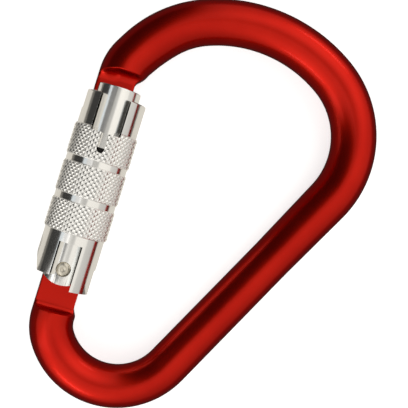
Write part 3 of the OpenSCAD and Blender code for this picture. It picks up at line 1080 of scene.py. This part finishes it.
dress(rivet_pin, steel("peened_steel", (0.68, 0.64, 0.55), (0.50, 0.45, 0.36), 0.2, 2500))
ground, drawn = ((0.55, 0.55, 0.56), 0.22), ((0.50, 0.50, 0.52), 0.28)
inner_parts = {
    "gate_plunger": ground, "sleeve_stop_pin": ground,
    "gate_spring": drawn, "sleeve_spring": drawn,
}
for node, (colour, roughness) in inner_parts.items():
    dull = tuple(0.7 * c for c in colour)
    dress(frame["nodes"][node], steel(node + "_steel", colour, dull, roughness, 3000))
print("steel: the rivet and", len(inner_parts), "CAD nodes that stay")

# %% [markdown]
# ## The studio
#
# A shiny round bar shows its surroundings more than itself, so the studio is drawn as a map
# of directions round the carabiner. A direction has a bearing in the picture, from 0 for the
# right to 90 for the top, and a tilt from straight up. Soft light comes from all round, as in
# a light tent, but the tent stands open at the upper left, and the open side is dark.

# %% Directions in the picture
scene = bpy.context.scene
scene.view_settings.view_transform = "Standard"
picture_right = Vector((0.9555, 0.295, 0)).normalized()
picture_up = Vector((-picture_right.y, picture_right.x, 0))
focus = Vector((-0.00095, 0.00211, 0.0086))


def way_to(bearing, tilt):
    """The direction with a bearing in the picture and a tilt from straight up."""
    b, t = radians(bearing), radians(tilt)
    flat = picture_right * cos(b) + picture_up * sin(b)
    return flat * sin(t) + Vector((0, 0, cos(t)))


print("the picture's right is", tuple(round(x, 3) for x in picture_right))

# %% [markdown]
# The tent is the world's own light. Each term is a dot product with one direction, so it has
# soft edges by itself: two planes bound the open side, a dim spot overhead is the hole that
# the camera looks through, and wide glows stand for the lamps behind the cloth. The camera
# sees plain white instead, which the Light Path node switches.

# %% Light tent
world = bpy.data.worlds.new("light_tent")
scene.world = world
tent = Graph(world)
looking = tent.add("ShaderNodeTexCoord", output=0)


def facing(bearing, tilt):
    """1 along a direction, 0 square to it and -1 behind it."""
    return tent.add(
        "ShaderNodeVectorMath", {"operation": "DOT_PRODUCT"}, output=1,
        Vector=looking, Vector_001=way_to(bearing, tilt),
    )


def glow(bearing, tilt, width, strength):
    """A round patch of light. Width is the angle at which it has faded to a third."""
    power = 1 / (1 - cos(radians(width)))
    return facing(bearing, tilt).at_least(0.0) ** power * strength


edge, cloth_light, dark = 0.09, 0.71, 0.045
upper_edge = facing(179, 90).clamped(-edge, edge)
left_edge = facing(114.4, 97.6).clamped(-edge, edge)
overhead = facing(90, 2).clamped(0.975, 0.995) * 0.35
open_side = overhead.at_least(upper_edge * left_edge)
low_side = facing(290, 100).clamped(0.4, 1.0)
cloth = cloth_light - low_side * 0.3 + glow(41, 41, 23, 0.62) + glow(240, 53, 23, 0.5)
cloth = cloth + glow(212, 14, 14, 0.28)
in_tent = cloth * (1 - open_side) + dark * open_side
tent_light = tent.add(
    "ShaderNodeBackground", Color=(1.0, 0.985, 0.95, 1), Strength=in_tent
)
white = tent.add("ShaderNodeBackground", Color=(1, 1, 1, 1), Strength=1.0)
both = tent.add(
    "ShaderNodeMixShader", Fac=tent.camera_sees(), Shader=tent_light, Shader_001=white
)
tent.add("ShaderNodeOutputWorld", Surface=both)
print("the tent has", len(tent.tree.nodes), "nodes")

# %% [markdown]
# A few softboxes add what the tent lacks. Two slim ones draw the pale lines along the bends
# of the bar, and a small card lights the heel from close by. The silver parts have lamps of
# their own, and light linking keeps those off the red bar: a cool one at the gate's side, as
# a window would be, two soft fills above it, a warm sheet on the other side, and a card
# under the gate that lights its lower flank.


# %% Softboxes
def turn_to(item, side, back):
    """Turns an object until its X axis is side and its Z axis is back."""
    axes = Matrix((side, back.cross(side), back)).transposed()
    item.rotation_mode = "QUATERNION"
    item.rotation_quaternion = axes.to_quaternion()


def softbox(
    name, bearing, tilt, away, wide, high, strength, colour=(1.0, 1.0, 1.0), aim=focus,
    only_for=(),
):
    """A flat lamp of even brightness that faces aim. Strength 1 shows as white."""
    lamp = bpy.data.lights.new(name, "AREA")
    lamp.shape = "RECTANGLE"
    lamp.size, lamp.size_y = wide, high
    lamp.energy = strength * pi * wide * high
    lamp.color = colour
    box = put_in_scene(name, lamp)
    back = way_to(bearing, tilt)
    box.location = aim + back * away
    turn_to(box, Vector((0, 0, 1)).cross(back).normalized(), back)
    box.visible_camera = False
    for piece in only_for:
        receivers = box.light_linking.receiver_collection
        if receivers is None:
            receivers = box.light_linking.receiver_collection = bpy.data.collections.new(name)
        receivers.objects.link(piece)


gate_middle = hinge_place + Vector((0, 0.024, 0))
heel = hinge_place + Vector((0, -0.012, 0))
silver_parts = (gate_bar, twist_sleeve, rivet_pin)
cool, warm = (0.88, 0.95, 1.0), (1.0, 0.96, 0.88)
softbox("strip_below", 238, 66, 0.45, 0.16, 0.035, 3.6)
softbox("strip_above", 46, 66, 0.45, 0.14, 0.035, 3.2)
softbox("heel_card", 190, 52, 0.09, 0.07, 0.09, 0.62, (1.0, 0.98, 0.95), heel)
softbox("window_left", 163, 42, 0.50, 0.30, 0.123, 0.8, cool, gate_middle, silver_parts)
softbox("gate_fill", 163, 25, 0.50, 0.30, 0.22, 0.2, aim=gate_middle, only_for=(gate_bar,))
softbox(
    "sleeve_fill", 163, 24, 0.50, 0.34, 0.19, 0.75, aim=gate_middle,
    only_for=(twist_sleeve, rivet_pin),
)
softbox("gate_sheet", -17, 34, 0.50, 0.34, 0.42, 0.24, warm, gate_middle, silver_parts)
softbox(
    "card_under_gate", -17, 178.1, 0.0079, 0.062, 0.106, 0.55, warm,
    gate_middle + Vector((-0.012, 0, -0.0004)), silver_parts,
)

# %% [markdown]
# The carabiner lies on its thick sleeve and on the far side of the wide basket, so the floor
# slopes under it by about two degrees. The basket touches it below the middle of the bar.

# %% Floor
floor_half = 3.0
touch_inset = 0.0065
floor_bm = bmesh.new()
ops.create_grid(floor_bm, x_segments=1, y_segments=1, size=floor_half)
sleeve_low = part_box("locking_sleeve")[0]
basket_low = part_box("body")[0]
basket_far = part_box("body")[1]
rise = (basket_low.z - sleeve_low.z) / (basket_far.x - touch_inset - hinge_place.x)
rotate(floor_bm, -atan(rise), "Y")
move(floor_bm, (hinge_place.x, 0, sleeve_low.z))
floor = put_mesh(floor_bm, "studio_floor")
print("floor rises by", round(1000 * rise), "mm in a metre")

# %% [markdown]
# The camera sees the floor as white paper: a matt surface that takes the carabiner's shadow,
# with a plain glow that lifts it to white. Metal mirrors it as a dull grey, as it would mirror
# the table of a darker room, so the bar keeps dark edges against the white.

# %% Paint the floor
paper = Finish("pale_paper")
matt_paper = paper.add(
    "ShaderNodeBsdfPrincipled", Base_Color=(0.86, 0.86, 0.86, 1), Roughness=0.9,
    Specular_IOR_Level=0.1, Emission_Color=(1, 1, 1, 1), Emission_Strength=0.71,
)
mirrored_paper = paper.add("ShaderNodeEmission", Color=(1.0, 0.95, 0.86, 1), Strength=0.19)
both_papers = paper.add(
    "ShaderNodeMixShader", Fac=paper.camera_sees(), Shader=mirrored_paper,
    Shader_001=matt_paper,
)
paper.add("ShaderNodeOutputMaterial", Surface=both_papers)
dress(floor, paper.material)

# %% [markdown]
# ## The camera
#
# The camera hangs a quarter of a metre above the carabiner and looks almost straight down,
# turned so that the gate leans to the right. It stands a little to the gate's side, which is
# why the notches of the sleeve seem to face it squarely.

# %% Camera
camera_away = 0.240
lean_to_gate = 6.0
picture_width = 0.1099
lens = bpy.data.cameras.new("camera")
lens.sensor_width = 36.0
lens.lens = lens.sensor_width * camera_away / picture_width
lens.clip_start, lens.clip_end = 0.01, 20.0
camera = put_in_scene("camera", lens)
scene.camera = camera
look_back = Vector((-tan(radians(lean_to_gate)), 0, 1)).normalized()
look_side = (picture_right - picture_right.dot(look_back) * look_back).normalized()
camera.location = focus + look_back * camera_away
turn_to(camera, look_side, look_back)
print("camera at", tuple(round(x, 3) for x in camera.location))
